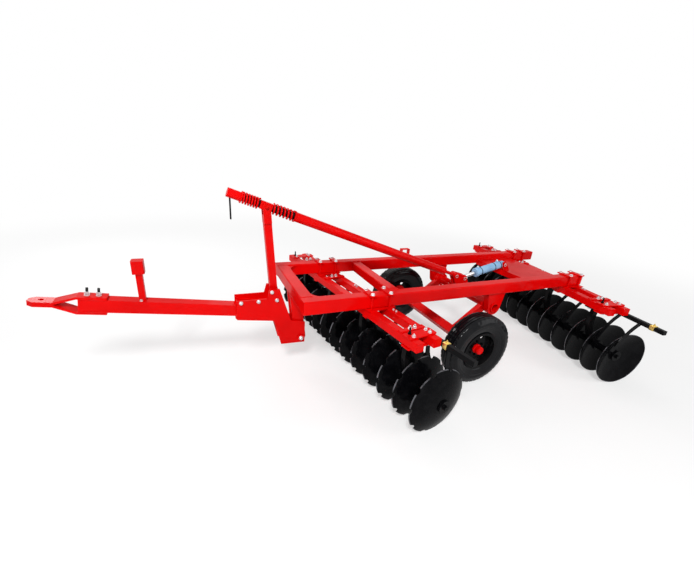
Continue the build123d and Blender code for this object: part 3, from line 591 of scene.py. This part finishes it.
threadedEnds()
trunnionNuts = []
for side in (-1, 1):
    end = at(levelLine["x"], side * trunnion["y"], levelLine["z"])
    trunnionNuts.append((end, toRight * side, trunnion["nut"]))
fixings("trunnion_nuts", "level", trunnionNuts, redPaint)

# guide tubes inside the springs, black so that they also paint the shade between the coils, and the sleeve on
# the tommy bar
guide = {"radius": 33, "runs": ((-214, -57), (57, 268)), "sides": 28, "ease": 2}
tommy = {"along": -318.3, "radius": 7.2, "from": 38, "to": 222, "sides": 14, "ease": 2}


def springGuides():
    shape = bmesh.new()
    for start, stop in guide["runs"]:
        long = stop - start
        small = bmesh.new()
        peg(small, guide["sides"], guide["radius"], guide["radius"], 0, long)
        sides = uprightEdges(small, long)
        easeEdges(small, [e for e in small.edges if e not in sides], guide["ease"])
        absorb(shape, small, turnedTo(onSlope(levelLine, start, 0), slopeWay(levelLine)))
    long = tommy["to"] - tommy["from"]
    small = bmesh.new()
    peg(small, tommy["sides"], tommy["radius"], tommy["radius"], 0, long)
    easeEdges(small, edgesAbove(small, long / 2), tommy["ease"])
    top = onSlope(levelLine, tommy["along"], 0) - up * tommy["from"] / 1000
    absorb(shape, small, turnedTo(top, -up))
    # painted shade: the guides' black finish stands for the shade between the spring's coils
    newPiece("spring_guides", "level", steelBlack, shape)


springGuides()
print("drawbar fixings")

wheel = {"nutRing": 78, "nuts": 6, "discFace": 17, "nut": (0.8, 8)}
valve = {
    "ahead": 30, "ring": 164, "seat": 10, "lean": -0.35,
    "stem": (10, 7, 6, 0, 40), "cap": (10, 8, 6.5, 38, 52),
}
hubCap = {
    "radius": 43, "tip": 41.28, "face": 76, "tall": 9, "sides": 32, "ease": 6, "easeSteps": 3,
    "bolts": 4, "boltRing": 31, "bolt": (6, 6, 5.5, 6, 12),
}


def hubOf(name):
    low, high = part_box(name + "_tyre")
    return (low + high) / 2


def wheelNuts(name, body, hub, axis):
    places = []
    for index in range(wheel["nuts"]):
        turn = 2 * pi * (index + 0.5) / wheel["nuts"]
        ring = Vector((cos(turn), 0, sin(turn))) * wheel["nutRing"]
        places.append((hub + (ring + axis * wheel["discFace"]) / 1000, axis, wheel["nut"]))
    fixings(name + "_wheel_nuts", body, places, steelBlack)


def valveStem(name, body, hub, axis):
    shape = bmesh.new()
    peg(shape, *valve["stem"])
    peg(shape, *valve["cap"])
    foot = hub + (Vector((valve["ahead"], 0, valve["ring"])) + axis * valve["seat"]) / 1000
    placed(shape, turnedTo(foot, axis + up * valve["lean"]))
    newPiece(name + "_valve", body, steelBlack, shape)


def hubCover(name, body, hub, axis):
    shape = bmesh.new()
    peg(shape, hubCap["sides"], hubCap["radius"], hubCap["tip"], 0, hubCap["tall"])
    easeEdges(shape, edgesAbove(shape, hubCap["tall"] / 2), hubCap["ease"], hubCap["easeSteps"])
    for index in range(hubCap["bolts"]):
        turn = 2 * pi * (index + 0.5) / hubCap["bolts"]
        peg(shape, *hubCap["bolt"], hubCap["boltRing"] * cos(turn), hubCap["boltRing"] * sin(turn))
    placed(shape, turnedTo(hub + axis * hubCap["face"] / 1000, axis))
    newPiece(name + "_hub_cap", body, redPaint, shape)


# half of the tyre's section from the middle of the tread to the bead: outwards, radius
tyre = {
    "steps": 168, "merge": 0.05, "sharp": 40, "section": (
        (0, 385), (12, 385), (14, 377), (21, 377), (23, 384.9), (43, 384.4), (45, 376.5), (52, 376.5),
        (54, 383.8), (70, 381.5), (79, 377), (86, 367), (90, 354), (95, 344), (98.5, 340), (99, 330),
        (101.5, 327), (101.8, 316), (102.4, 313), (102.4, 300), (101, 297), (100, 283), (97, 280), (94, 262),
        (90, 246), (86, 238), (86, 232), (81, 226), (76, 216), (73, 209), (73, 190.6),
    ),
}
notch = {"every": 4, "stagger": 2, "deep": 6, "lowest": 352, "highest": 382.5, "outside": 66}


def roadTyre(name, body, hub):
    shape = bmesh.new()
    half = tyre["section"]
    loop = list(half) + [(-across, radius) for across, radius in reversed(half[1:])]
    ring = [shape.verts.new((0, across / 1000, radius / 1000)) for across, radius in loop]
    edges = [shape.edges.new(pair) for pair in zip(ring, ring[1:] + ring[:1])]
    bmesh.ops.spin(
        shape, geom=ring + edges, cent=(0, 0, 0), axis=(0, 1, 0), angle=2 * pi, steps=tyre["steps"],
        use_merge=True,
    )
    bmesh.ops.remove_doubles(shape, verts=shape.verts[:], dist=tyre["merge"] / 1000)
    for vert in shape.verts:  # notches across the shoulders
        radius = vert.co.xz.length * 1000
        place = round(atan2(vert.co.x, vert.co.z) / (2 * pi) * tyre["steps"])
        if vert.co.y > 0:
            place += notch["stagger"]
        onShoulder = notch["lowest"] < radius < notch["highest"] and abs(vert.co.y) * 1000 > notch["outside"]
        if onShoulder and place % notch["every"] == 0:
            vert.co.xz *= 1 - notch["deep"] / radius
    bmesh.ops.recalc_face_normals(shape, faces=shape.faces[:])
    bmesh.ops.translate(shape, vec=hub, verts=shape.verts[:])
    piece = newPiece(name + "_road_tyre", body, rubber, shape, tyre["sharp"])
    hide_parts(name + "_tyre")


for side, name in ((-1, "left"), (1, "right")):
    body, hub, axis = name + "_wheel", hubOf(name), toRight * side
    wheelNuts(name, body, hub, axis)
    valveStem(name, body, hub, axis)
    hubCover(name, body, hub, axis)
    roadTyre(name, body, hub)
print("wheels dressed")

axleEnd = {"out": 23, "nut": (1.3, 0)}
for name, gang in gangs.items():
    along = gangWays(gang)[1]
    last = gang["first"] + discs["pitch"] * (discs["count"] - 1)
    ends = ((gang["first"] - axleEnd["out"], -along), (last + axleEnd["out"], along))
    places = []
    for end, way in ends:
        places.append((gangAt(gang, gang["trail"], end, discs["axleHeight"]), way, axleEnd["nut"]))
    fixings(name + "_axle_nuts", name + "_gang", places, steelBlack)

# bearing housings: cover bolts and grease nipples
housing = {"half": 45, "boltRing": 55, "bolts": 4, "nut": (0.36, 0), "nippleOut": 73}
nipple = {"collars": ((6, 6.5, 6.5, 0, 6), (8, 4, 3.2, 6, 13), (8, 4.5, 3, 12, 16)), "back": 0.8, "rise": 0.6}
liftBracket = {"nippleOut": 62}


def greaseNipple(shape, place, axis):
    small = bmesh.new()
    for sides, foot, tip, low, high in nipple["collars"]:
        peg(small, sides, foot, tip, low, high)
    absorb(shape, small, turnedTo(place, axis))


def bearingFixings():
    covers, nipples = [], bmesh.new()
    for gang in gangs.values():
        across, along = gangWays(gang)
        slant = across * nipple["back"] + up * nipple["rise"]
        for place in hangerPlaces(gang):
            middle = gangAt(gang, gang["trail"], place, discs["axleHeight"])
            for way in (-along, along):
                for index in range(housing["bolts"]):
                    turn = 2 * pi * (index + 0.5) / housing["bolts"]
                    ring = (across * cos(turn) + up * sin(turn)) * housing["boltRing"]
                    covers.append((middle + (ring + way * housing["half"]) / 1000, way, housing["nut"]))
            greaseNipple(nipples, middle + slant * housing["nippleOut"] / 1000, slant)
    fixings("housing_bolts", "frame", covers)
    out = liftBracket["nippleOut"]
    for side in (-1, 1):
        place = at(liftArm["x"] + out, side * clamp["railY"], liftArm["z"] - out)
        greaseNipple(nipples, place, Vector((1, 0, -1)))
    newPiece("grease_nipples", "frame", zinc, nipples)


bearingFixings()

# scraper bars: a plated collar with its bolt, and the nuts that hold the arms
collar = {"wide": 46, "thick": 4, "ease": 2.5, "knob": 0.6, "knobProud": 20}
scraper = {"armSet": 89, "aside": 12, "drop": 4, "nut": (0.42, 6)}


def barCollar(name, gang):
    turn = Matrix.Rotation(radians(gang["turn"]), 4, "Z")
    middle = gangAt(gang, beams["bar"], gang["collar"], gang["barHeight"])
    side = beams["barSide"] + 2 * collar["thick"]
    shape = easedBlock((side, collar["wide"], side), collar["ease"])
    placed(shape, Matrix.Translation(middle) @ turn)
    absorb(shape, nut(collar["knobProud"]), turnedTo(middle + up * side / 2000, up, collar["knob"]))
    newPiece(name + "_bar_collar", "frame", yellowZinc, shape)


def scraperNuts(name, gang):
    across, along = gangWays(gang)
    behind = beams["bar"] + beams["barSide"] / 2 + gang["armGap"]
    places = []
    for index in range(discs["count"]):
        arm = gang["first"] + discs["pitch"] * index + gang["cup"] * scraper["armSet"]
        back = gangAt(gang, behind, arm, gang["barHeight"])
        for aside in (-1, 1):
            offset = (along * scraper["aside"] - up * scraper["drop"]) * aside / 1000
            places.append((back + offset, across, scraper["nut"]))
    fixings(name + "_scraper_nuts", "frame", places)


for name, gang in gangs.items():
    barCollar(name, gang)
    scraperNuts(name, gang)
print("gang fixings")

# cylinder: ports with plugs, end rings, retaining rings on the pins
ram = {"radius": 48, "rings": (-58, -150, -360, -412), "ringOut": 0.5, "ringWire": 4, "ringSteps": 48}
port = {
    "along": (-92, -398), "radius": 17, "tall": 16, "sunk": 3, "sides": 24, "ease": 3,
    "plug": 0.7, "proud": 4,
}
pinClip = {
    "ring": 17, "wire": 2.8, "steps": 28, "y": 54, "out": 3, "drop": 4,
    "stub": (10, 6, 4.8, 0, 8), "stubRise": 12,
    "lift": ((2075, 909), (2208, 872)), "frame": ((cylinder["x"], cylinder["z"]),),
}


def portBosses():
    bosses, plugs = bmesh.new(), bmesh.new()
    way = slopeUp(cylinder)
    tall = port["sunk"] + port["tall"]
    for along in port["along"]:
        small = bmesh.new()
        peg(small, port["sides"], port["radius"], port["radius"], 0, tall)
        easeEdges(small, edgesAbove(small, tall / 2), port["ease"])
        absorb(bosses, small, turnedTo(onSlope(cylinder, along, ram["radius"] - port["sunk"]), way))
        top = onSlope(cylinder, along, ram["radius"] + port["tall"])
        absorb(plugs, nut(port["proud"]), turnedTo(top, way, port["plug"]))
    newPiece("cylinder_ports", "ram_tube", barrelPaint, bosses)
    newPiece("cylinder_plugs", "ram_tube", zinc, plugs)


roundWire = {"sides": 8, "merge": 0.02}


# ring of round wire, swelling and thinning in turn where it is a weld
def hoop(shape, place, axis, radius, wire, steps, lump=0.0):
    small = bmesh.new()
    section = Matrix.Translation((radius / 1000, 0, 0)) @ Matrix.Rotation(pi / 2, 4, "X")
    bmesh.ops.create_circle(
        small, cap_ends=False, segments=roundWire["sides"], radius=wire / 1000, matrix=section,
    )
    bmesh.ops.spin(
        small, geom=small.verts[:] + small.edges[:], cent=(0, 0, 0), axis=(0, 0, 1), angle=2 * pi,
        steps=steps, use_merge=True,
    )
    bmesh.ops.remove_doubles(small, verts=small.verts[:], dist=roundWire["merge"] / 1000)
    for vert in small.verts:
        count = round(atan2(vert.co.y, vert.co.x) / (2 * pi) * steps)
        swell = 1 + lump * (1 if count % 2 else -1)
        middle = (vert.co.xy.normalized() * radius / 1000).to_3d()
        vert.co = middle + (vert.co - middle) * swell
    bmesh.ops.recalc_face_normals(small, faces=small.faces[:])
    absorb(shape, small, turnedTo(place, axis))


def cylinderRings():
    shape = bmesh.new()
    radius = ram["radius"] + ram["ringOut"]
    for along in ram["rings"]:
        middle = onSlope(cylinder, along, 0)
        hoop(shape, middle, slopeWay(cylinder), radius, ram["ringWire"], ram["ringSteps"])
    newPiece("cylinder_rings", "ram_tube", steelBlack, shape)


def pinClips(body):
    shape = bmesh.new()
    for x, z in pinClip[body]:
        for side in (-1, 1):
            axis = toRight * side
            face = at(x, side * pinClip["y"], z)
            middle = face + (axis * pinClip["out"] - up * pinClip["drop"]) / 1000
            hoop(shape, middle, axis, pinClip["ring"], pinClip["wire"], pinClip["steps"])
            small = bmesh.new()
            peg(small, *pinClip["stub"])
            absorb(shape, small, turnedTo(face + up * pinClip["stubRise"] / 1000, axis))
    newPiece(body + "_pin_clips", body, zinc, shape)


portBosses()
cylinderRings()
pinClips("lift")
pinClips("frame")
print("cylinder dressed")

# weld beads: size, length of a ripple, how much the ripples swell and vary, the fewest on a run and on a ring
weld = {
    "size": 5, "thin": 4, "pitch": 7, "lump": 0.13, "even": 0.7, "sway": 1.7, "sides": 8, "sharp": 60,
    "fewest": 3, "fewestRound": 24,
}


def seam(shape, start, end, size=weld["size"]):
    run = end - start
    long = run.length * 1000
    small = bmesh.new()
    peg(small, weld["sides"], size, size, 0, long)
    ripples = max(weld["fewest"], round(long / weld["pitch"])) + 1
    bmesh.ops.subdivide_edges(small, edges=uprightEdges(small, long), cuts=ripples - 1)
    for vert in small.verts:
        count = round(vert.co.z * 1000 / long * ripples)
        uneven = weld["even"] + (1 - weld["even"]) * sin(count * weld["sway"])
        vert.co.xy *= 1 + weld["lump"] * (1 if count % 2 else -1) * uneven
    absorb(shape, small, turnedTo(start, run.normalized()))


def seamAlong(shape, run, y, size=weld["size"]):  # rearwards from one x to another at a height
    start, stop, z = run
    seam(shape, at(start, y, z), at(stop, y, z), size)


def seamOnSlope(shape, line, run, height, y, size=weld["size"]):
    start, stop = run
    seam(shape, onSlope(line, start, height, y), onSlope(line, stop, height, y), size)


def ringSeam(shape, x, y, z, radius):
    steps = max(weld["fewestRound"], round(2 * pi * radius / weld["pitch"]))
    hoop(shape, at(x, y, z), toRight, radius, weld["size"], steps, weld["lump"])


frameWeld = {  # runs are first x, last x and height
    "railFace": 457, "frontCross": (4, 116, 995), "middleCross": (908, 1012, 984), "deck": (2852, 3560, 930),
    "middleSides": (905, 1015), "middleLow": 888, "middleHigh": 981,
    "bracket": (2124, 2356, 872), "bracketHalf": 35,
    "ramEar": (2856, 2906, 930), "ramEarFaces": (26, 42),
    "tongueEar": (14, 116, 872), "tongueEarFaces": (43.3, 63.3),
    "loopSides": (1602.5, 1717.5), "loopFrom": 490, "loopTo": 544, "loopFoot": 997,
}


def frameWelds():
    beads = bmesh.new()
    for side in (-1, 1):
        face = side * frameWeld["railFace"]
        seamAlong(beads, frameWeld["frontCross"], face)
        seamAlong(beads, frameWeld["middleCross"], face)
        for x in frameWeld["middleSides"]:
            seam(beads, at(x, face, frameWeld["middleLow"]), at(x, face, frameWeld["middleHigh"]))
        seamAlong(beads, frameWeld["deck"], face)
        for edge in (-frameWeld["bracketHalf"], frameWeld["bracketHalf"]):
            seamAlong(beads, frameWeld["bracket"], side * clamp["railY"] + edge)
        for ear in frameWeld["ramEarFaces"]:
            seamAlong(beads, frameWeld["ramEar"], side * ear, weld["thin"])
        for ear in frameWeld["tongueEarFaces"]:
            seamAlong(beads, frameWeld["tongueEar"], side * ear)
    for x in frameWeld["loopSides"]:
        foot = frameWeld["loopFoot"]
        seam(beads, at(x, frameWeld["loopFrom"], foot), at(x, frameWeld["loopTo"], foot), weld["thin"])
    newPiece("frame_welds", "frame", redPaint, beads, weld["sharp"])


drawbarWeld = {
    "sleeveY": 75.3, "sleeveHeight": 75, "sleeveTop": (-272, 60), "sleeveUnder": (-272, 20),
    "hitchHalf": 54, "hitch": (-1476, -1292),
    "post": -1034, "postHeight": 54, "postHalf": 25, "postFall": 3.8,
}


def drawbarWelds():
    beads = bmesh.new()
    half = drawbarWeld["postHalf"]
    foot = onSlope(tongue, drawbarWeld["post"], drawbarWeld["postHeight"])
    for side in (-1, 1):
        sleeve = side * drawbarWeld["sleeveY"]
        seamOnSlope(beads, tongue, drawbarWeld["sleeveTop"], drawbarWeld["sleeveHeight"], sleeve)
        seamOnSlope(beads, tongue, drawbarWeld["sleeveUnder"], -drawbarWeld["sleeveHeight"], sleeve)
        for height in (drawbarWeld["hitchHalf"], -drawbarWeld["hitchHalf"]):
            seamOnSlope(beads, tongue, drawbarWeld["hitch"], height, side * drawbarWeld["hitchHalf"])
        front = Vector((-half, side * half, drawbarWeld["postFall"])) / 1000
        back = Vector((half, side * half, -drawbarWeld["postFall"])) / 1000
        seam(beads, foot + front, foot + back, weld["thin"])
    newPiece("drawbar_welds", "drawbar", redPaint, beads, weld["sharp"])


liftWeld = {"shaft": 55, "armFaces": (390, 450), "leverFaces": (26, 42), "beam": (-464, -548), "beamHalf": 46}


def liftWelds():
    beads = bmesh.new()
    for side in (-1, 1):
        for face in liftWeld["armFaces"]:
            ringSeam(beads, liftArm["x"], side * face, liftArm["z"], liftWeld["shaft"])
            for height in (liftWeld["beamHalf"], -liftWeld["beamHalf"]):
                seamOnSlope(beads, liftArm, liftWeld["beam"], height, side * face, weld["thin"])
        for face in liftWeld["leverFaces"]:
            ringSeam(beads, liftArm["x"], side * face, liftArm["z"], liftWeld["shaft"])
    newPiece("lift_welds", "lift", redPaint, beads, weld["sharp"])


frameWelds()
drawbarWelds()
liftWelds()
print("welds")

# floor and light, in metres
stage = {
    "size": 80.0, "pale": (0.95, 0.95, 0.95, 1), "shade": (0.93, 0.93, 0.93, 1), "grain": (3, 3),
    "rough": 0.9, "gloss": 0.1, "near": 0.5, "fadeFrom": 1.5, "fadeTo": 11.0,
}
white = (1, 1, 1, 1)


def paleFloor():
    mesh = bpy.data.meshes.new("floor")
    shape = bmesh.new()
    bmesh.ops.create_grid(shape, x_segments=2, y_segments=2, size=stage["size"] / 2)
    shape.to_mesh(mesh)
    shape.free()
    floor = bpy.data.objects.new("floor", mesh)
    scene.collection.objects.link(floor)
    material, tree, shader = newFinish("paleFloor")
    plug(tree, shader, {
        "Base Color": mixColour(tree, noise(tree, *stage["grain"]), stage["pale"], stage["shade"]),
        "Roughness": stage["rough"],
        "Specular IOR Level": stage["gloss"],
    })
    faded = easedStep(tree, farFrom(tree, objectSpot(tree)), stage["fadeFrom"], stage["fadeTo"])
    glow = (1 - (1 - faded) * (1 - stage["near"])) * seenRays(tree)
    lit = node(tree, "ShaderNodeEmission", {}, {"Color": white, "Strength": 1.0})
    matt = Wire(tree, shader.outputs["BSDF"])
    mixed = node(tree, "ShaderNodeMixShader", {}, {0: glow, 1: matt, 2: lit})
    plug(tree, tree.nodes["Material Output"], {"Surface": mixed})
    mesh.materials.append(material)


paleFloor()

studio = {"light": 0.32, "seen": 1.0, "aim": (0.3, 0.0, 0.6)}
lamps = {
    "key": {"at": (-3.5, -5.0, 6.0), "wide": 1.4, "tall": 1.4, "power": 500},
    "fill": {"at": (6.0, -5.5, 4.0), "wide": 5.0, "tall": 5.0, "power": 150},
    "back": {"at": (1.5, 6.0, 5.5), "wide": 5.0, "tall": 5.0, "power": 110},
    "rim": {"at": (-4.2, 5.2, 4.2), "wide": 0.9, "tall": 4.0, "power": 150},
}


def studioWorld():
    world = bpy.data.worlds.new("studio")
    scene.world = world
    world.use_nodes = True
    tree = world.node_tree
    levels = {0: seenRays(tree), 2: studio["light"], 3: studio["seen"]}
    level = node(tree, "ShaderNodeMix", {"data_type": "FLOAT"}, levels)
    plug(tree, tree.nodes["Background"], {"Color": white, "Strength": level})


def studioLamp(name, lamp):
    data = bpy.data.lights.new(name, "AREA")
    data.energy = lamp["power"]
    data.shape = "RECTANGLE"
    data.size = lamp["wide"]
    data.size_y = lamp["tall"]
    light = bpy.data.objects.new(name, data)
    scene.collection.objects.link(light)
    light.location = lamp["at"]
    aim = Vector(studio["aim"]) - light.location
    light.rotation_euler = aim.to_track_quat("-Z", "Y").to_euler()


studioWorld()
for name, lamp in lamps.items():
    studioLamp(name, lamp)

# camera fitted to the photograph: metres from the datum, right and down directions, focal length in pixels
view = {
    "at": (-0.7766, -3.1110, 2.1853), "right": (0.9182, -0.3892, 0.0739), "down": (-0.0825, -0.3702, -0.9253),
    "focal": 342.8, "wide": 694, "sensor": 36.0,
}
camera = bpy.data.objects.new("camera", bpy.data.cameras.new("camera"))
scene.collection.objects.link(camera)
right, down = Vector(view["right"]).normalized(), Vector(view["down"])
down = (down - right * down.dot(right)).normalized()
turned = Matrix((right, -down, -right.cross(down))).transposed().to_4x4()
camera.matrix_world = Matrix.Translation(datum + Vector(view["at"])) @ turned
camera.data.sensor_width = view["sensor"]
camera.data.lens = view["sensor"] * view["focal"] / view["wide"]
scene.camera = camera
scene.view_settings.view_transform = "Standard"
print("camera placed")
